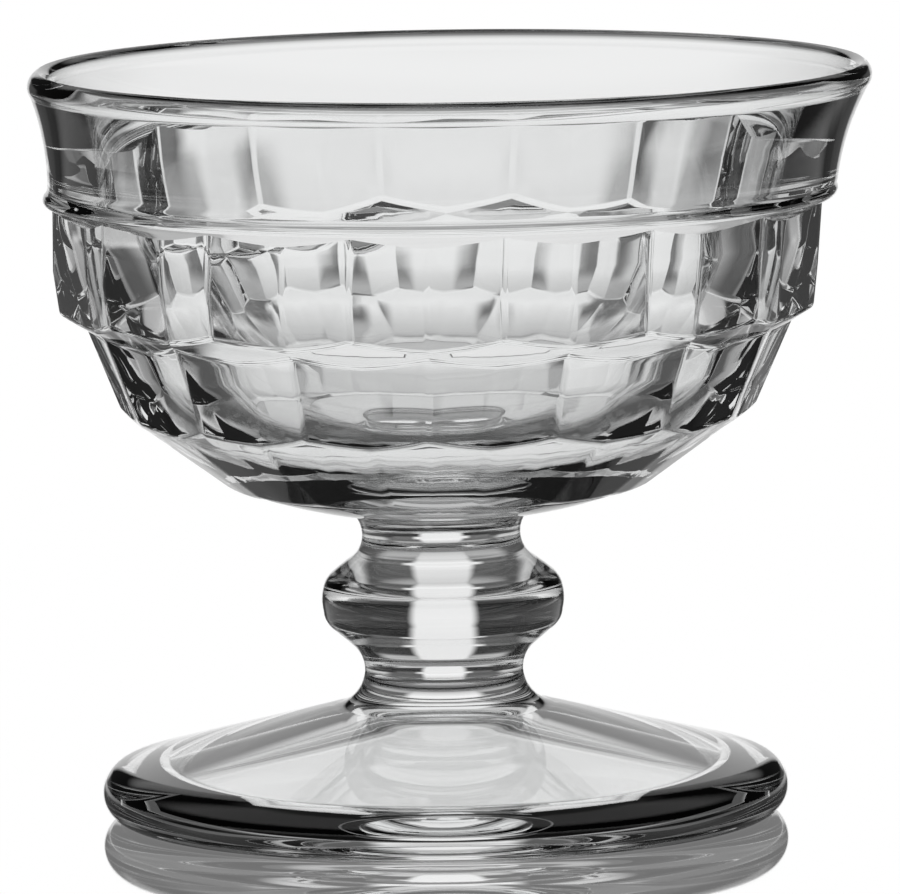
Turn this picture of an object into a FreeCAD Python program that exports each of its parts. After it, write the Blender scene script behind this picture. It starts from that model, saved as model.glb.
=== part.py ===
import FreeCAD, Part

import math
import os

import Sketcher
from FreeCAD import Vector

# A footed sherbet glass pressed in one piece of clear glass: a flared band with a round lip, a thin
# bead, three staggered rows of cube facets, a turned stem with a knob, and a wide foot, hollow below.
# Millimetres, +Z up, the axis of the glass on Z and the floor at Z = 0.

NODE = "sherbet_glass"
CUBES_PER_ROW = 16

# Radii are from the axis. A rise is measured up from the size that it is named after or the one before.
# The widths of the bowl all follow from the throat: the bead, the flare and the lip above it, and
# below it one row of cubes after the other, each by how far it lies inside the form above.
SIZES = {
    # foot
    "foot_radius": 41.5,
    "foot_widest_rise": 3.5,
    "contact_outer_radius": 39.4,
    "contact_width": 1.4,
    "foot_edge_radius": 38.8,
    "foot_edge_rise": 6.75,
    "cone_top_radius": 12.6,
    "cone_rise": 6.85,
    "hollow_lip_rise": 0.4,
    "hollow_shoulder_inset": 1.2,
    "hollow_shoulder_rise": 1.4,
    "hollow_cone_inset": 25.8,
    "hollow_cone_rise": 6.6,
    "hollow_dome_rise": 2.0,
    # stem
    "lower_neck_radius": 9.6,
    "lower_neck_rise": 3.85,
    "lower_taper_radius": 11.1,
    "lower_taper_rise": 3.75,
    "knob_radius": 14.65,
    "knob_shoulder_radius": 13.05,
    "knob_shoulder_rise": 1.75,
    "knob_half_height": 3.45,
    "upper_taper_radius": 10.65,
    "upper_taper_rise": 2.0,
    "upper_neck_radius": 9.55,
    "upper_neck_rise": 2.65,
    "bowl_base_radius": 11.9,
    "bowl_base_rise": 2.55,
    # third row of cubes, the lowest
    "row3_foot_rise": 3.3,
    "row3_taper": 10.6,
    "row3_inset": 2.4,
    "row3_height": 7.4,
    "row3_valley_depth": 1.7,
    "row3_top_drop": 0.6,
    # second row
    "row2_taper": 4.5,
    "row2_ledge": 1.85,
    "row2_inset": 3.3,
    "row2_height": 10.6,
    "row2_valley_depth": 1.9,
    "row2_top_drop": 1.15,
    "row2_foot_drop": 0.75,
    # first row, the highest
    "row1_foot_inset": 0.65,
    "row1_ledge": 2.1,
    "row1_mid_inset": 0.25,
    "row1_mid_rise": 5.2,
    "row1_top_inset": 0.25,
    "row1_height": 12.6,
    "row1_valley_depth": 2.0,
    "row1_foot_drop": 1.3,
    # bead and band
    "bead_ledge_width": 4.0,
    "bead_ledge_drop": 2.6,
    "bead_seat_inset": 0.31,
    "bead_bulge": 0.24,
    "bead_half_height": 0.65,
    "throat_radius": 47.66,
    "throat_rise": 0.4,
    "flare_spread": 2.69,
    "flare_rise": 11.2,
    "lip_bulge": 0.45,
    "lip_widest_rise": 1.5,
    "lip_rise": 3.2,
    # inside of the bowl
    "lip_top_inset": 1.05,
    "lip_thickness": 2.7,
    "lip_inner_drop": 2.1,
    "lip_bend_thickness": 2.05,
    "lip_bend_drop": 0.5,
    "band_bulge": 0.65,
    "band_thickness": 3.6,
    "band_mid_rise": 5.7,
    "throat_thickness": 5.16,
    "throat_inner_drop": 2.1,
    "wall_mid_thickness": 5.8,
    "wall_mid_drop": 10.6,
    "wall_foot_thickness": 6.7,
    "wall_foot_drop": 19.1,
    "corner_thickness": 8.9,
    "corner_mid_rise": 6.65,
    "floor_edge_inset": 5.4,
    "floor_edge_rise": 2.0,
    "floor_thickness": 5.55,
}

doc = FreeCAD.newDocument("SherbetGlass")
sheet = doc.addObject("Spreadsheet::Sheet", "Sizes")
for row, (alias, number) in enumerate(SIZES.items(), start=1):
    sheet.set("A%d" % row, alias)
    sheet.set("B%d" % row, str(number))
    sheet.setAlias("B%d" % row, alias)
doc.recompute()


class Size:
    """A length known both as a number and as the expression that ties it to the sheet."""

    def __init__(self, expression, number):
        self.expression = expression
        self.number = number

    def __add__(self, other):
        return Size("%s + %s" % (self.expression, other.expression), self.number + other.number)

    def __sub__(self, other):
        return Size("%s - (%s)" % (self.expression, other.expression), self.number - other.number)


def size(alias):
    return Size("Sizes.%s" % alias, float(getattr(sheet, alias)))


ZERO = Size("0", 0.0)

# Heights, stacked from the floor up
foot_edge_z = size("foot_edge_rise")
cone_top_z = foot_edge_z + size("cone_rise")
lower_neck_z = cone_top_z + size("lower_neck_rise")
lower_taper_z = lower_neck_z + size("lower_taper_rise")
knob_low_z = lower_taper_z + size("knob_shoulder_rise")
knob_z = knob_low_z + size("knob_half_height")
knob_high_z = knob_z + size("knob_half_height")
upper_taper_z = knob_high_z + size("upper_taper_rise")
upper_neck_z = upper_taper_z + size("upper_neck_rise")
bowl_base_z = upper_neck_z + size("bowl_base_rise")
row3_foot_z = bowl_base_z + size("row3_foot_rise")
row3_top_z = row3_foot_z + size("row3_height")
row2_foot_z = row3_top_z + size("row2_ledge")
row2_top_z = row2_foot_z + size("row2_height")
row1_foot_z = row2_top_z + size("row1_ledge")
row1_mid_z = row1_foot_z + size("row1_mid_rise")
bead_seat_z = row1_foot_z + size("row1_height")
bead_ledge_z = bead_seat_z - size("bead_ledge_drop")
bead_z = bead_seat_z + size("bead_half_height")
bead_top_z = bead_z + size("bead_half_height")
throat_z = bead_top_z + size("throat_rise")
flare_z = throat_z + size("flare_rise")
lip_widest_z = flare_z + size("lip_widest_rise")
lip_z = flare_z + size("lip_rise")

# Radii outside the bowl, from the throat up and down
bead_seat_r = size("throat_radius") - size("bead_seat_inset")
bead_r = size("throat_radius") + size("bead_bulge")
flare_r = size("throat_radius") + size("flare_spread")
lip_r = flare_r + size("lip_bulge")
row1_top_r = bead_seat_r - size("row1_top_inset")
row1_mid_r = row1_top_r - size("row1_mid_inset")
row1_foot_r = row1_mid_r - size("row1_foot_inset")
row2_top_r = row1_foot_r - size("row2_inset")
row2_foot_r = row2_top_r - size("row2_taper")
row3_top_r = row2_foot_r - size("row3_inset")
row3_foot_r = row3_top_r - size("row3_taper")
row3_valley_foot_r = row3_foot_r - size("row3_valley_depth")

# Heights and radii inside the bowl, the radii by the thickness of the glass
lip_inner_z = lip_z - size("lip_inner_drop")
lip_bend_z = lip_z - size("lip_bend_drop")
band_mid_z = throat_z + size("band_mid_rise")
throat_inner_z = throat_z - size("throat_inner_drop")
wall_mid_z = throat_z - size("wall_mid_drop")
wall_foot_z = throat_z - size("wall_foot_drop")
floor_z = bowl_base_z + size("floor_thickness")
floor_edge_z = floor_z + size("floor_edge_rise")
corner_mid_z = floor_z + size("corner_mid_rise")

lip_top_r = lip_r - size("lip_top_inset")
lip_bend_r = lip_r - size("lip_bend_thickness")
lip_inner_r = lip_r - size("lip_thickness")
band_inner_r = size("throat_radius") + size("band_bulge") - size("band_thickness")
throat_inner_r = size("throat_radius") - size("throat_thickness")
wall_mid_r = row1_foot_r - size("wall_mid_thickness")
wall_foot_r = row2_top_r - size("wall_foot_thickness")
corner_mid_r = row2_foot_r - size("corner_thickness")
floor_edge_r = row3_foot_r - size("floor_edge_inset")


def origin_plane(body, role):
    return [feature for feature in body.Origin.OriginFeatures if feature.Role == role][0]


class Profile:
    """A closed half section in the XZ plane, drawn corner by corner, each tied to the sheet."""

    def __init__(self, body, name, r, z):
        self.sketch = body.newObject("Sketcher::SketchObject", name)
        self.sketch.AttachmentSupport = [(origin_plane(body, "XZ_Plane"), "")]
        self.sketch.MapMode = "FlatFace"
        self.start = (r, z)
        self.at = (r, z)
        self.last = None

    def tie(self, geometry, point, r, z):
        for kind, length in (("DistanceX", r), ("DistanceY", z)):
            constraint = Sketcher.Constraint(kind, -1, 1, geometry, point, length.number)
            index = self.sketch.addConstraint(constraint)
            if length.expression != "0":
                self.sketch.setExpression("Constraints[%d]" % index, length.expression)

    def add(self, curve, r, z, end_point=2, start_point=1):
        index = self.sketch.addGeometry(curve, False)
        if self.last is None:
            self.first = (index, start_point)
            self.tie(index, start_point, *self.start)
        else:
            self.sketch.addConstraint(Sketcher.Constraint("Coincident", *self.last, index, start_point))
        self.last = (index, end_point)
        self.at = (r, z)
        if (r, z) == self.start:
            self.sketch.addConstraint(Sketcher.Constraint("Coincident", *self.last, *self.first))
        else:
            self.tie(index, end_point, r, z)
        return index

    def line(self, r, z):
        here = Vector(self.at[0].number, self.at[1].number, 0)
        self.add(Part.LineSegment(here, Vector(r.number, z.number, 0)), r, z)
        return self

    def arc(self, mid_r, mid_z, r, z):
        """An arc from the last corner through a middle point to the next corner."""
        here = Vector(self.at[0].number, self.at[1].number, 0)
        middle = Vector(mid_r.number, mid_z.number, 0)
        there = Vector(r.number, z.number, 0)
        curve = Part.Arc(here, middle, there)
        turn = (middle - here).cross(there - here).z
        ends = (2, 1) if turn > 0 else (1, 2)
        index = self.add(curve, r, z, *ends)
        point = self.sketch.addGeometry(Part.Point(middle), True)
        self.sketch.addConstraint(Sketcher.Constraint("PointOnObject", point, 1, index))
        self.tie(point, 1, mid_r, mid_z)
        return self

    def level_arc(self, centre_z, r, z):
        """An arc to the next corner whose centre lies at a given height, so that it is upright there."""
        here = Vector(self.at[0].number, self.at[1].number, 0)
        there = Vector(r.number, z.number, 0)
        low = centre_z.number
        gap = (there.x ** 2 - here.x ** 2 + (there.y - low) ** 2 - (here.y - low) ** 2)
        centre = Vector(gap / (2 * (there.x - here.x)), low, 0)
        radius = (here - centre).Length
        side = math.copysign(1.0, here.x + there.x - 2 * centre.x)
        half = (here + there) * 0.5 - centre
        middle = centre + half.normalize() * radius if half.Length else centre + Vector(side * radius, 0, 0)
        turn = (middle - here).cross(there - here).z
        ends = (2, 1) if turn > 0 else (1, 2)
        index = self.add(Part.Arc(here, middle, there), r, z, *ends)
        row = self.sketch.addConstraint(Sketcher.Constraint("DistanceY", -1, 1, index, 3, low))
        self.sketch.setExpression("Constraints[%d]" % row, centre_z.expression)
        return self

    def dome(self, r, z):
        """An arc to the next corner, centred on the axis, so that it turns into part of a sphere."""
        here = Vector(self.at[0].number, self.at[1].number, 0)
        there = Vector(r.number, z.number, 0)
        gap = there.x ** 2 - here.x ** 2 + there.y ** 2 - here.y ** 2
        centre = Vector(0, gap / (2 * (there.y - here.y)), 0)
        half = (here + there) * 0.5 - centre
        middle = centre + half.normalize() * (here - centre).Length
        turn = (middle - here).cross(there - here).z
        ends = (2, 1) if turn > 0 else (1, 2)
        index = self.add(Part.Arc(here, middle, there), r, z, *ends)
        self.sketch.addConstraint(Sketcher.Constraint("PointOnObject", index, 3, -2))
        return self

    def close(self):
        return self.line(*self.start)


def revolve(body, kind, name, profile):
    feature = body.newObject(kind, name)
    feature.Profile = profile.sketch
    feature.ReferenceAxis = (profile.sketch, ["V_Axis"])
    feature.Angle = 360.0
    profile.sketch.Visibility = False
    return feature


# Outer form of the foot, stem, bowl base, bead, band and lip, turned about the axis.
# Between the third row and the bead it runs well inside the cubes, which cover it.
glass = doc.addObject("PartDesign::Body", "Glass")
glass.Label = NODE

outside = Profile(glass, "OutsideProfile", ZERO, ZERO)
outside.line(size("contact_outer_radius"), ZERO)
outside.arc(size("foot_radius"), size("foot_widest_rise"), size("foot_edge_radius"), foot_edge_z)
outside.line(size("cone_top_radius"), cone_top_z)
outside.level_arc(lower_neck_z, size("lower_neck_radius"), lower_neck_z)
outside.level_arc(lower_neck_z, size("lower_taper_radius"), lower_taper_z)
outside.line(size("knob_shoulder_radius"), knob_low_z)
outside.arc(size("knob_radius"), knob_z, size("knob_shoulder_radius"), knob_high_z)
outside.line(size("upper_taper_radius"), upper_taper_z)
outside.level_arc(upper_neck_z, size("upper_neck_radius"), upper_neck_z)
outside.level_arc(upper_neck_z, size("bowl_base_radius"), bowl_base_z)
outside.dome(row3_valley_foot_r, row3_foot_z)
outside.line(bead_seat_r - size("bead_ledge_width"), bead_ledge_z)
outside.line(bead_seat_r, bead_seat_z)
outside.arc(bead_r, bead_z, size("throat_radius"), bead_top_z)
outside.line(size("throat_radius"), throat_z)
outside.level_arc(throat_z, flare_r, flare_z)
outside.arc(lip_r, lip_widest_z, lip_top_r, lip_z)
outside.line(ZERO, lip_z)
outside.close()
revolve(glass, "PartDesign::Revolution", "OutsideForm", outside)


def ring(ridge_r, ridge_z, valley_r, valley_z, turned):
    """Corners of a zigzag ring, ridge and valley in turn, half a cube round where it is turned."""
    corners = []
    for step in range(2 * CUBES_PER_ROW):
        angle = math.pi * (step + (1 if turned else 0)) / CUBES_PER_ROW
        r, z = (ridge_r, ridge_z) if step % 2 == 0 else (valley_r, valley_z)
        corners.append(Vector(r * math.sin(angle), -r * math.cos(angle), z))
    return corners[-1:] + corners[:-1] if turned else corners


def valley_foot_radius(top_r, top_z, foot_r, foot_z, valley_r, valley_z, valley_foot_z):
    """Radius where the valley ends below, so that each side of a cube is one flat facet."""
    half_pitch = math.pi / CUBES_PER_ROW
    outward = Vector(math.cos(half_pitch), math.sin(half_pitch), 0)
    ridge_top = Vector(top_r, 0, top_z)
    ridge_foot = Vector(foot_r, 0, foot_z)
    valley_top = outward * valley_r + Vector(0, 0, valley_z)
    normal = (ridge_foot - ridge_top).cross(valley_top - ridge_top)
    return (normal.dot(ridge_top) - normal.z * valley_foot_z) / normal.dot(outward)


def cube_row(ridge, valley_r, valley_heights, turned):
    """The rings of one row of cubes, from the top down, from its ridge and the heights of its valley."""
    rings = [ring(*ridge[0], valley_r, valley_heights[0], turned)]
    valley_z = valley_heights[0]
    for above, below, next_z in zip(ridge, ridge[1:], valley_heights[1:]):
        valley_r = valley_foot_radius(*above, *below, valley_r, valley_z, next_z)
        valley_z = next_z
        rings.append(ring(*below, valley_r, valley_z, turned))
    return rings


def flat(*corners):
    return Part.Face(Part.makePolygon(list(corners) + [corners[0]]))


def cube_sides(rings):
    """The flat sides of one row, four corners each."""
    faces = []
    count = len(rings[0])
    for top, foot in zip(rings, rings[1:]):
        for i in range(count):
            j = (i + 1) % count
            faces.append(flat(top[i], foot[i], foot[j], top[j]))
    return faces


def ledge(upper, lower, ridges_first):
    """Two triangles between each pair of corners of two rings. The fold runs down from an upper valley."""
    faces = []
    count = len(upper)
    for i in range(count):
        j = (i + 1) % count
        if (i % 2 == 0) == ridges_first:
            faces.append(flat(upper[i], lower[i], upper[j]))
            faces.append(flat(upper[j], lower[i], lower[j]))
        else:
            faces.append(flat(upper[i], lower[i], lower[j]))
            faces.append(flat(upper[i], lower[j], upper[j]))
    return faces


def corner(r, z):
    return (r.number, z.number)


# The first row runs up into the bead, whose sloping underside cuts its top edge into scallops
row1 = cube_row(
    [corner(row1_top_r, bead_z), corner(row1_mid_r, row1_mid_z), corner(row1_foot_r, row1_foot_z)],
    (row1_top_r - size("row1_valley_depth")).number,
    [bead_z.number, row1_mid_z.number, (row1_foot_z - size("row1_foot_drop")).number],
    True)
row2 = cube_row(
    [corner(row2_top_r, row2_top_z), corner(row2_foot_r, row2_foot_z)],
    (row2_top_r - size("row2_valley_depth")).number,
    [(row2_top_z - size("row2_top_drop")).number, (row2_foot_z - size("row2_foot_drop")).number],
    False)
row3 = cube_row(
    [corner(row3_top_r, row3_top_z), corner(row3_foot_r, row3_foot_z)],
    (row3_top_r - size("row3_valley_depth")).number,
    [(row3_top_z - size("row3_top_drop")).number, row3_foot_z.number],
    True)

cube_faces = [flat(*row1[0])]
cube_faces += cube_sides(row1)
cube_faces += ledge(row1[-1], row2[0], False)
cube_faces += cube_sides(row2)
cube_faces += ledge(row2[-1], row3[0], True)
cube_faces += cube_sides(row3)
cube_faces.append(flat(*row3[-1]))

cubes = doc.addObject("Part::Feature", "CubeRows")
cubes.Shape = Part.Solid(Part.makeShell(cube_faces))

cube_body = doc.addObject("PartDesign::Body", "CubeBody")
cube_body.BaseFeature = cubes
doc.recompute()

rows = glass.newObject("PartDesign::Boolean", "AddCubeRows")
rows.Type = "Fuse"
rows.setObjects([cube_body])
doc.recompute()

# Inside of the bowl, from the middle of its floor up the wall and over the inner edge of the lip
inside = Profile(glass, "InsideProfile", ZERO, floor_z)
inside.dome(floor_edge_r, floor_edge_z)
inside.arc(corner_mid_r, corner_mid_z, wall_foot_r, wall_foot_z)
inside.arc(wall_mid_r, wall_mid_z, throat_inner_r, throat_inner_z)
inside.arc(band_inner_r, band_mid_z, lip_inner_r, lip_inner_z)
inside.arc(lip_bend_r, lip_bend_z, lip_top_r, lip_z)
inside.line(ZERO, lip_z)
inside.close()
revolve(glass, "PartDesign::Groove", "BowlInside", inside)

# Hollow under the foot, inside the ring that the glass stands on
contact_inner_r = size("contact_outer_radius") - size("contact_width")
hollow_shoulder_r = contact_inner_r - size("hollow_shoulder_inset")
hollow_cone_r = hollow_shoulder_r - size("hollow_cone_inset")
hollow_lip_z = size("hollow_lip_rise")
hollow_shoulder_z = hollow_lip_z + size("hollow_shoulder_rise")
hollow_cone_z = hollow_shoulder_z + size("hollow_cone_rise")
under = Profile(glass, "UnderProfile", ZERO, ZERO)
under.line(contact_inner_r, ZERO)
under.line(contact_inner_r, hollow_lip_z)
under.level_arc(hollow_lip_z, hollow_shoulder_r, hollow_shoulder_z)
under.line(hollow_cone_r, hollow_cone_z)
under.dome(ZERO, hollow_cone_z + size("hollow_dome_rise"))
under.close()
revolve(glass, "PartDesign::Groove", "FootHollow", under)
doc.recompute()

for item in doc.Objects:
    if "Invalid" in item.State or "Error" in item.State:
        raise RuntimeError("%s failed: %s" % (item.Name, item.State))
if glass.Shape.isNull() or not glass.Shape.isValid():
    raise RuntimeError("%s has no valid shape" % NODE)
if len(glass.Shape.Solids) != 1:
    raise RuntimeError("%s is in %d pieces" % (NODE, len(glass.Shape.Solids)))

os.makedirs("parts", exist_ok=True)
glass.Shape.exportStep("parts/%s.step" % NODE)
print("%s: volume %.1f mm3, box %s" % (NODE, glass.Shape.Volume, glass.Shape.BoundBox))
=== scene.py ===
import math

import bmesh
import bpy
from mathutils import Matrix, Vector


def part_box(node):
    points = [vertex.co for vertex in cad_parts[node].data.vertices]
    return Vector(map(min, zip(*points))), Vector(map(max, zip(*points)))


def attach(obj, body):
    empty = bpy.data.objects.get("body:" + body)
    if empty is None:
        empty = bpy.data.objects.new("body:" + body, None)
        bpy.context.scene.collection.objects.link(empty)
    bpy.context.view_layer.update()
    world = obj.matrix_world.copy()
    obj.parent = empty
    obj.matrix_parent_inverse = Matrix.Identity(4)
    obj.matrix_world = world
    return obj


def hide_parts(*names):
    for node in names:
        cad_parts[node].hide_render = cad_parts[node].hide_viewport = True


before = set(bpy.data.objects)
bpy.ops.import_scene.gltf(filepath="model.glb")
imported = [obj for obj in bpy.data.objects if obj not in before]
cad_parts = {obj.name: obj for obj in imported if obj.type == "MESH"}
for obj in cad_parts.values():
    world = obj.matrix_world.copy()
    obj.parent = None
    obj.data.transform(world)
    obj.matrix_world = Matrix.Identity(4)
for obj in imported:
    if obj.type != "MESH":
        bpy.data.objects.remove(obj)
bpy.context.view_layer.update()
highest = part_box("sherbet_glass")[1]

mm = 0.001
weld = 0.001 * mm                              # points this close together become one
realGlass = {"radius": 50.8, "height": 91.0}   # in millimetres, as the outlines below are drawn
roundScale = highest.x / (realGlass["radius"] * mm)
riseScale = highest.z / (realGlass["height"] * mm)
print("solid glass:", round(highest.x / mm, 2), "mm in radius,", round(highest.z / mm, 2), "mm high")


def freshSelection():
    if bpy.context.object and bpy.context.object.mode != "OBJECT":
        bpy.ops.object.mode_set(mode="OBJECT")
    bpy.ops.object.select_all(action="DESELECT")


def onlyThis(piece):
    freshSelection()
    piece.select_set(True)
    bpy.context.view_layer.objects.active = piece


def applyModifier(piece, kind, name, **settings):
    onlyThis(piece)
    modifier = piece.modifiers.new(name, kind)
    for setting, value in settings.items():
        setattr(modifier, setting, value)
    bpy.ops.object.modifier_apply(modifier=modifier.name)


# The glass. Every point is (radius, height) in millimetres. The first one is the start. A line has
# its end and its steps, and an arc has a point on the way, its end and its steps.
glass = {
    "turns": 288,
    "joinWeld": 0.0005 * mm,    # as weld, after the cubes are joined on
    "smoothBelow": 38,          # degrees between faces that still look like one surface
    "facetWeight": 50,          # pull of large faces on the normals, 50 is neutral
    "outline": [
        ("line", (0, 9.85)),
        ("arc", (5.5, 9.35), (11.3, 7.85), 8),        # hollow under the foot
        ("line", (32.94, 1.06), 20),
        ("arc", (36.63, 0.73), (38.0, 0.4), 8),
        ("arc", (38.1, 0.03), (38.3, 0), 2),
        ("line", (39.2, 0)),                          # the ring that it stands on
        ("arc", (40.87, 1.23), (41.5, 3.2), 12),      # rim of the foot
        ("arc", (40.72, 5.5), (38.69, 6.8), 14),
        ("line", (32, 8.53), 6),
        ("line", (14, 13.2), 6),
        ("arc", (10.6, 15.0), (9.58, 17.6), 12),      # lower stem
        ("arc", (9.95, 19.4), (11.06, 20.9), 8),
        ("line", (13.2, 22.73), 2),
        ("arc", (14.1, 23.65), (14.5, 25.0), 8),      # knob
        ("arc", (14.66, 26.4), (14.52, 27.6), 8),
        ("arc", (14.1, 28.75), (13.2, 29.75), 8),
        ("line", (11.45, 31.1), 2),
        ("arc", (9.6, 33.9), (10.2, 36.3), 12),       # upper stem
        ("arc", (10.5, 36.65), (11.0, 36.87), 4),
        ("arc", (16.8, 37.95), (22.6, 39.62), 8),     # underside of the bowl
        ("line", (24, 41.6), 1),                      # from here to the bead it runs inside the cubes
        ("line", (33, 48.2), 1),
        ("line", (40.2, 60.4), 1),
        ("line", (42.6, 66.0), 1),
        ("line", (43.35, 72.3), 1),
        ("line", (47.3, 74.87), 4),
        ("arc", (47.9, 75.55), (47.66, 76.25), 8),    # bead
        ("line", (47.6, 76.6), 1),
        ("arc", (48.3, 81.75), (50.5, 88.2), 34),     # band
        ("arc", (50.72, 90.0), (49.75, 91.0), 12),    # lip
        ("arc", (48.75, 90.5), (48.1, 88.9), 10),
        ("arc", (44.7, 82.3), (42.5, 74.5), 34),      # inside of the band
        ("arc", (40.4, 66.0), (36.2, 57.5), 14),      # inside wall
        ("arc", (29.5, 49.3), (20, 44.6), 18),
        ("arc", (10, 43.1), (0, 42.6), 10),           # floor of the bowl
    ],
    "lean": [                   # height, and how far this glass stands to one side there, in millimetres
        (0, 0), (30, 0), (40, -0.3), (50, -0.25), (55, 0),
        (72, -0.2), (75, 0.2), (77, 0.65), (83, 1.1), (91, 1.8),
    ],
}


def arcPoints(start, middle, end, steps):
    ax, ay = start
    bx, by = middle
    cx, cy = end
    d = 2 * (ax * (by - cy) + bx * (cy - ay) + cx * (ay - by))
    ux = ((ax**2 + ay**2) * (by - cy) + (bx**2 + by**2) * (cy - ay) + (cx**2 + cy**2) * (ay - by)) / d
    uy = ((ax**2 + ay**2) * (cx - bx) + (bx**2 + by**2) * (ax - cx) + (cx**2 + cy**2) * (bx - ax)) / d
    first = math.atan2(ay - uy, ax - ux)
    half = math.atan2(by - uy, bx - ux)
    last = math.atan2(cy - uy, cx - ux)
    sweep = (last - first) % (2 * math.pi)
    if (half - first) % (2 * math.pi) > sweep:
        sweep -= 2 * math.pi
    radius = math.hypot(ax - ux, ay - uy)
    return [(ux + radius * math.cos(first + sweep * i / steps),
             uy + radius * math.sin(first + sweep * i / steps)) for i in range(1, steps + 1)]


def outlinePoints(moves):
    points = [moves[0][1]]
    for move in moves[1:]:
        if move[0] == "arc":
            points += arcPoints(points[-1], move[1], move[2], move[3])
        else:
            (r0, z0), (r1, z1) = points[-1], move[1]
            steps = move[2] if len(move) > 2 else 1
            points += [(r0 + (r1 - r0) * i / steps, z0 + (z1 - z0) * i / steps) for i in range(1, steps + 1)]
    return points


def turnedForm(name, moves, turns):
    points = [Vector((r * roundScale, 0, z * riseScale)) * mm for r, z in outlinePoints(moves)]
    freshSelection()
    bpy.ops.mesh.primitive_plane_add(size=mm, location=(0, 0, 0))
    form = bpy.context.object
    form.name = name
    bpy.ops.object.mode_set(mode="EDIT")
    bpy.ops.mesh.merge(type="CENTER")                 # one point, from which the outline is drawn
    bpy.ops.transform.translate(value=points[0])
    for here, there in zip(points, points[1:]):
        bpy.ops.mesh.extrude_region_move(TRANSFORM_OT_translate={"value": there - here})
    bpy.ops.mesh.select_all(action="SELECT")
    bpy.ops.mesh.spin(steps=turns, angle=2 * math.pi, center=(0, 0, 0), axis=(0, 0, 1))
    bpy.ops.mesh.select_all(action="SELECT")
    bpy.ops.mesh.remove_doubles(threshold=weld)
    bpy.ops.mesh.normals_make_consistent(inside=False)
    bpy.ops.object.mode_set(mode="OBJECT")
    return form


def sideways(height):
    for (lowZ, lowX), (highZ, highX) in zip(glass["lean"], glass["lean"][1:]):
        if height <= highZ:
            return lowX + (highX - lowX) * (height - lowZ) / (highZ - lowZ)
    return glass["lean"][-1][1]


# The three rows of cubes, in millimetres and degrees
cubes = {
    "perRow": 16,
    "steps": 4,                    # from an edge of a cube to the next groove
    "startRadius": 40.0,           # of the circle that the sleeve is drawn out from
    "flatWithin": 0.3,             # faces that meet at less than this become one
    "rounding": 0.55,
    "roundingSegments": 3,
    "roundedFrom": 8,              # edges that turn by more than this are rounded
    "rows": [                      # edge from the top down, radius of the groove at the top, its heights
        ([(47.15, 75.55), (46.85, 67.5), (46.2, 62.3)], 45.15, [75.55, 67.5, 60.95]),
        ([(42.9, 60.24), (38.4, 49.6)], 41.0, [59.05, 48.6]),
        ([(35.5, 47.8), (25.4, 40.42)], 33.8, [46.85, 40.1]),
    ],
    "underside": (22.3, 39.63),
    "inside": [(21.0, 41.6), (31.4, 48.6), (38.7, 61.0), (41.7, 67.5), (43.1, 75.9)],    # in the turned form
}


# Every ring of a row as points from the edge of a cube round to its groove, all of them on flat facets
def rowRings(edge, grooveRadius, grooveHeights, spec):
    half = math.pi / spec["perRow"]
    beside = Vector((math.cos(half), math.sin(half), 0))
    corners = [Vector((r, 0, z)) for r, z in edge]
    groove = beside * grooveRadius + Vector((0, 0, grooveHeights[0]))
    facet = (corners[1] - corners[0]).cross(groove - corners[0])
    rings = []
    for place, corner in enumerate(corners):
        if place:
            facet = (corner - corners[place - 1]).cross(groove - corners[place - 1])
            height = grooveHeights[place]
            groove = beside * (facet.dot(corner) - facet.z * height) / facet.dot(beside)
            groove = groove + Vector((0, 0, height))
        reach = groove.xy.length
        slope = (corner.z - groove.z) / (corner.x - reach)
        level = corner.z - slope * corner.x
        ring = []
        for step in range(spec["steps"] + 1):
            turn = half * step / spec["steps"]
            ray = Vector((math.cos(turn), math.sin(turn), 0))
            r = (facet.dot(corner) - facet.z * level) / (facet.dot(ray) + facet.z * slope)
            ring.append((r, level + slope * r))
        rings.append(ring)
    return rings


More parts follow.
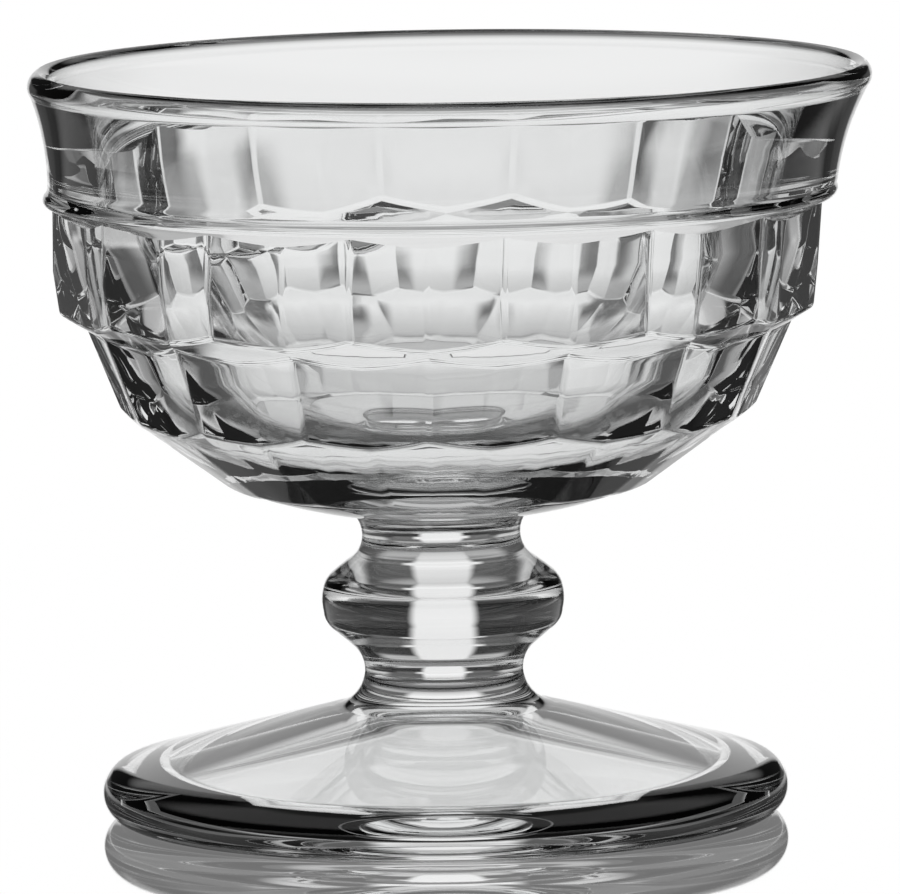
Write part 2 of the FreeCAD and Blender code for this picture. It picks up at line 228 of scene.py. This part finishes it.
def cubeSleeve(name, spec):
    steps = spec["steps"]
    count = 2 * steps * spec["perRow"]
    rings = []
    for place, row in enumerate(spec["rows"]):
        for ring in rowRings(*row, spec):
            rings.append(ring if place % 2 == 0 else ring[::-1])    # half a cube round from the row above
    rings += [[point] * (steps + 1) for point in [spec["underside"]] + spec["inside"]]
    start = spec["startRadius"]
    freshSelection()
    bpy.ops.mesh.primitive_circle_add(vertices=count, radius=start * roundScale * mm, location=(0, 0, 0))
    sleeve = bpy.context.object
    sleeve.name = name
    bpy.ops.object.mode_set(mode="EDIT")
    last = [(start, 0)] * (steps + 1)
    for place, ring in enumerate(rings + rings[:1]):    # the first ring again, to close the sleeve
        if place:
            bpy.ops.mesh.extrude_region_move()
        shape = bmesh.from_edit_mesh(sleeve.data)
        newRing = [v for v in shape.verts if v.select]
        for away in range(steps + 1):    # points as many steps from an edge of a cube move together
            (oldR, oldZ), (newR, newZ) = last[away], ring[away]
            bpy.ops.mesh.select_all(action="DESELECT")
            for v in newRing:
                step = round(math.atan2(v.co.x, -v.co.y) / (2 * math.pi) * count) % (2 * steps)
                if steps - min(step, 2 * steps - step) == away:
                    v.select_set(True)
            shape.select_flush_mode()
            factor = newR / oldR
            bpy.ops.transform.resize(value=(factor, factor, 1), center_override=(0, 0, 0))
            bpy.ops.transform.translate(value=(0, 0, (newZ - oldZ) * riseScale * mm))
        bpy.ops.mesh.select_all(action="DESELECT")
        for v in newRing:
            v.select_set(True)
        shape.select_flush_mode()
        last = ring
    bpy.ops.mesh.select_all(action="SELECT")
    bpy.ops.mesh.remove_doubles(threshold=weld)
    bpy.ops.mesh.normals_make_consistent(inside=False)
    bpy.ops.mesh.quads_convert_to_tris(quad_method="SHORTEST_DIAGONAL")
    bpy.ops.mesh.dissolve_limited(angle_limit=math.radians(spec["flatWithin"]))
    bpy.ops.object.mode_set(mode="OBJECT")
    applyModifier(sleeve, "BEVEL", "roundedEdges", width=spec["rounding"] * mm,
                  segments=spec["roundingSegments"],
                  limit_method="ANGLE", angle_limit=math.radians(spec["roundedFrom"]))
    return sleeve


def pressedGlass():
    piece = turnedForm("sherbetGlass", glass["outline"], glass["turns"])
    print("turned form:", len(piece.data.polygons), "faces")
    sleeve = cubeSleeve("cubeRows", cubes)
    print("cube rows:", len(sleeve.data.polygons), "faces")
    applyModifier(piece, "BOOLEAN", "joinCubes", operation="UNION", object=sleeve, solver="EXACT")
    bpy.data.objects.remove(sleeve)
    onlyThis(piece)
    bpy.ops.object.mode_set(mode="EDIT")
    bpy.ops.mesh.select_all(action="SELECT")
    bpy.ops.mesh.remove_doubles(threshold=glass["joinWeld"])
    bpy.ops.mesh.quads_convert_to_tris(quad_method="FIXED", ngon_method="BEAUTY")    # diagonals all one way
    bpy.ops.object.mode_set(mode="OBJECT")
    for v in piece.data.vertices:
        v.co.x += sideways(v.co.z / mm) * mm
    bpy.ops.object.shade_smooth_by_angle(angle=math.radians(glass["smoothBelow"]))
    applyModifier(piece, "WEIGHTED_NORMAL", "flatFacets", weight=glass["facetWeight"], keep_sharp=True)
    return piece


# Clear glass, with the slight waves that pressing leaves in its surface
glassLook = {
    "colour": (0.985, 0.99, 0.99, 1),
    "roughness": 0.0,
    "refraction": 1.5,
    "waveScale": 42,
    "waveDetail": 1.0,
    "waveHeight": 0.04 * mm,
}


def clearGlass(spec):
    material = bpy.data.materials.new("clearGlass")
    material.use_nodes = True
    tree = material.node_tree
    shader = tree.nodes["Principled BSDF"]
    shader.inputs["Base Color"].default_value = spec["colour"]
    shader.inputs["Roughness"].default_value = spec["roughness"]
    shader.inputs["IOR"].default_value = spec["refraction"]
    shader.inputs["Transmission Weight"].default_value = 1.0
    place = tree.nodes.new("ShaderNodeTexCoord")
    waves = tree.nodes.new("ShaderNodeTexNoise")
    waves.inputs["Scale"].default_value = spec["waveScale"]
    waves.inputs["Detail"].default_value = spec["waveDetail"]
    tree.links.new(place.outputs["Object"], waves.inputs["Vector"])
    bump = tree.nodes.new("ShaderNodeBump")
    bump.inputs["Strength"].default_value = 1.0
    bump.inputs["Distance"].default_value = spec["waveHeight"]
    tree.links.new(waves.outputs["Fac"], bump.inputs["Height"])
    tree.links.new(bump.outputs["Normal"], shader.inputs["Normal"])
    return material


glassPiece = pressedGlass()
glassPiece.data.materials.clear()
glassPiece.data.materials.append(clearGlass(glassLook))
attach(glassPiece, "root")
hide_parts("sherbet_glass")
print("glass:", len(glassPiece.data.polygons), "faces")


# The camera, in metres and degrees
view = {
    "turn": 1.65,              # how far it stands round from -Y towards +X
    "distance": 1.470,
    "height": 0.2215,
    "pitch": 6.86,
    "aside": 0.00109,          # it aims this far to the right of the glass's axis
    "roll": 0.8,
    "lens": 490.1,             # in millimetres, as the sensor
    "sensor": 36,
    "clip": (0.05, 50),
}


def placeCamera(spec):
    turn = math.radians(spec["turn"])
    ahead = Vector((-math.sin(turn), math.cos(turn), 0))
    right = Vector((math.cos(turn), math.sin(turn), 0))
    freshSelection()
    bpy.ops.object.camera_add(location=Vector((0, 0, spec["height"])) - ahead * spec["distance"])
    camera = bpy.context.object
    drop = spec["distance"] * math.tan(math.radians(spec["pitch"]))
    target = Vector((0, 0, spec["height"] - drop)) + right * spec["aside"]
    gaze = (target - camera.location).to_track_quat("-Z", "Y").to_matrix().to_4x4()
    roll = Matrix.Rotation(math.radians(-spec["roll"]), 4, "Z")
    camera.matrix_world = Matrix.Translation(camera.location) @ gaze @ roll
    camera.data.lens = spec["lens"]
    camera.data.sensor_width = spec["sensor"]
    camera.data.clip_start, camera.data.clip_end = spec["clip"]
    bpy.context.scene.camera = camera


# Node helpers for the studio and the table. Azimuth 0 lies straight behind the glass as the camera stands.
def nodeKit(tree):
    def number(operation, a, b=None, c=None):
        node = tree.nodes.new("ShaderNodeMath")
        node.operation = operation
        for socket, value in zip(node.inputs, (a, b, c)):
            if isinstance(value, bpy.types.NodeSocket):
                tree.links.new(value, socket)
            elif value is not None:
                socket.default_value = value
        return node.outputs[0]

    def smooth(value, low, high):
        node = tree.nodes.new("ShaderNodeMapRange")
        node.interpolation_type = "SMOOTHSTEP"
        tree.links.new(value, node.inputs["Value"])
        node.inputs["From Min"].default_value = low
        node.inputs["From Max"].default_value = high
        return node.outputs["Result"]

    def smoothDegrees(value, low, high):
        return smooth(value, math.radians(low), math.radians(high))

    def azimuthAndRise(direction):
        split = tree.nodes.new("ShaderNodeSeparateXYZ")
        tree.links.new(direction, split.inputs[0])
        fromY = number("ARCTAN2", split.outputs["X"], split.outputs["Y"])
        return number("ADD", fromY, math.radians(view["turn"])), split.outputs["Z"]

    return number, smooth, smoothDegrees, azimuthAndRise


# The studio, in degrees. Only sharp reflections and refractions see it. The camera and all other
# rays see plain white. A panel has the azimuth of its middle, half its width and its soft edge,
# then the elevations that it runs between and their soft edge, then its brightness.
studio = {
    "panels": [
        (0, 10.5, 4, -50, 35, 8, 0.88),       # behind the glass
        (0, 14, 5, -50, 2, 3, 0.88),          # wider, up to the horizon
        (0, 27, 6, -50, 3, 4, 0.14),          # dim light beside that
        (0, 30, 10, 20, 50, 8, 0.55),         # wings high up behind the glass
        (180, 115, 30, 18, 58, 12, 0.7),      # high up behind the camera and beside it
        (180, 146, 10, -24, -3, 5, 0.5),      # a low band all round, but for the side behind the glass
    ],
    "top": (52, 12, 0.22),     # from this elevation up, soft edge, brightness
    "ground": (-1, -5, 0.10),  # comes in between these elevations, brightness
    "dark": 0.02,              # everywhere else
}


def studioWorld(spec):
    world = bpy.data.worlds.new("studio")
    bpy.context.scene.world = world
    world.use_nodes = True
    tree = world.node_tree
    tree.nodes.clear()
    number, _, smoothDegrees, azimuthAndRise = nodeKit(tree)
    azimuth, rise = azimuthAndRise(tree.nodes.new("ShaderNodeTexCoord").outputs["Generated"])
    height = number("ARCSINE", rise)

    def panel(centre, halfWidth, edge, low, high, fade, brightness):
        away = number("ARCCOSINE", number("COSINE", number("SUBTRACT", azimuth, math.radians(centre))))
        across = smoothDegrees(away, halfWidth + edge / 2, halfWidth - edge / 2)
        above = smoothDegrees(height, low - fade / 2, low + fade / 2)
        below = smoothDegrees(height, high + fade / 2, high - fade / 2)
        return number("MULTIPLY", number("MULTIPLY", across, number("MULTIPLY", above, below)), brightness)

    low, fade, brightness = spec["top"]
    overhead = smoothDegrees(height, low - fade / 2, low + fade / 2)
    total = number("MAXIMUM", number("MULTIPLY", overhead, brightness), spec["dark"])
    fromDown, toDown, brightness = spec["ground"]
    ground = smoothDegrees(height, fromDown, toDown)
    total = number("MAXIMUM", total, number("MULTIPLY", ground, brightness))
    for settings in spec["panels"]:
        total = number("MAXIMUM", total, panel(*settings))
    path = tree.nodes.new("ShaderNodeLightPath")
    sharp = path.outputs["Is Singular Ray"]
    strength = number("ADD", number("MULTIPLY", total, sharp), number("SUBTRACT", 1.0, sharp))
    strength = number("MAXIMUM", strength, path.outputs["Is Camera Ray"])
    background = tree.nodes.new("ShaderNodeBackground")
    background.inputs["Color"].default_value = (1, 1, 1, 1)
    tree.links.new(strength, background.inputs["Strength"])
    output = tree.nodes.new("ShaderNodeOutputWorld")
    tree.links.new(background.outputs[0], output.inputs["Surface"])


# The pale table, in metres and degrees. The camera sees it white with a reflection, other rays see it
# dark by itself, with a painted sheen. Facing is the Layer Weight's: 0 from straight above, 1 along the
# surface.
table = {
    "radius": 0.40,
    "sides": 96,
    "below": 0.05 * mm,          # it lies this far under the foot
    "fade": (0.16, 0.34),        # from solid to clear
    "mirror": 0.84,              # how much of what the camera sees is reflection
    "mirrorRoughness": 0.03,
    "base": 0.08,                # its own brightness to other rays
    "gleam": (-0.13, 1.17),      # how much of the studio these see in it, at facing 0 and 1
    "paintedSheen": 0.5,                # painted sheen: light painted into it for these, kept to where the next three say
    "paintedSheenFacing": (0.58, 0.68),
    "paintedSheenAzimuth": (26, 36),    # to both sides, from none to full
    "paintedSheenOutside": (0.055, 0.085),    # begins outside the foot
}


def tableMaterial(spec):
    material = bpy.data.materials.new("paleFloor")
    material.use_nodes = True
    tree = material.node_tree
    tree.nodes.clear()
    new = tree.nodes.new
    link = tree.links.new
    number, smooth, smoothDegrees, azimuthAndRise = nodeKit(tree)
    place = new("ShaderNodeTexCoord").outputs["Object"]
    length = new("ShaderNodeVectorMath")
    length.operation = "LENGTH"
    link(place, length.inputs[0])
    fade = smooth(length.outputs["Value"], *spec["fade"])
    path = new("ShaderNodeLightPath")

    # what the camera sees
    white = new("ShaderNodeEmission")
    gloss = new("ShaderNodeBsdfGlossy")
    gloss.inputs["Color"].default_value = (1, 1, 1, 1)
    gloss.inputs["Roughness"].default_value = spec["mirrorRoughness"]
    polished = new("ShaderNodeMixShader")
    polished.inputs["Fac"].default_value = spec["mirror"]
    link(white.outputs[0], polished.inputs[1])
    link(gloss.outputs[0], polished.inputs[2])

    # what other rays see, such as those that come through the glass
    facing = new("ShaderNodeLayerWeight")
    facing.inputs["Blend"].default_value = 0.5
    steep, low = spec["gleam"]
    gleam = number("MULTIPLY_ADD", facing.outputs["Facing"], low - steep, steep)
    gleam.node.use_clamp = True
    # the painted sheen: a glow painted on the table at low angles, to both sides of the glass and outside
    # the foot
    azimuth = azimuthAndRise(place)[0]
    aside = smoothDegrees(number("ABSOLUTE", azimuth), *spec["paintedSheenAzimuth"])
    beyond = number("MULTIPLY", aside, smooth(length.outputs["Value"], *spec["paintedSheenOutside"]))
    paintedSheen = number("MULTIPLY", smooth(facing.outputs["Facing"], *spec["paintedSheenFacing"]), beyond)
    # its own brightness, plus the painted sheen as glow
    base = new("ShaderNodeEmission")
    link(number("MULTIPLY_ADD", paintedSheen, spec["paintedSheen"], spec["base"]), base.inputs["Strength"])
    mirror = new("ShaderNodeBsdfGlossy")
    mirror.inputs["Roughness"].default_value = 0.0
    link(gleam, mirror.inputs["Color"])
    seen = new("ShaderNodeAddShader")
    link(base.outputs[0], seen.inputs[0])
    link(mirror.outputs[0], seen.inputs[1])

    direct = new("ShaderNodeMixShader")
    link(path.outputs["Is Camera Ray"], direct.inputs["Fac"])
    link(seen.outputs[0], direct.inputs[1])
    link(polished.outputs[0], direct.inputs[2])
    clear = new("ShaderNodeBsdfTransparent")
    mix = new("ShaderNodeMixShader")
    link(fade, mix.inputs["Fac"])
    link(direct.outputs[0], mix.inputs[1])
    link(clear.outputs[0], mix.inputs[2])
    output = new("ShaderNodeOutputMaterial")
    link(mix.outputs[0], output.inputs["Surface"])
    return material


studioWorld(studio)
print("studio:", len(studio["panels"]), "lit panels")

freshSelection()
bpy.ops.mesh.primitive_circle_add(vertices=table["sides"], radius=table["radius"], fill_type="NGON",
                                  location=(0, 0, -table["below"]))
floor = bpy.context.object
floor.name = "paleFloor"
floor.data.materials.append(tableMaterial(table))
print("table:", table["radius"], "m in radius")

placeCamera(view)
bpy.context.scene.view_settings.view_transform = "Standard"
print("camera:", view["distance"], "m away, lens", view["lens"], "mm")
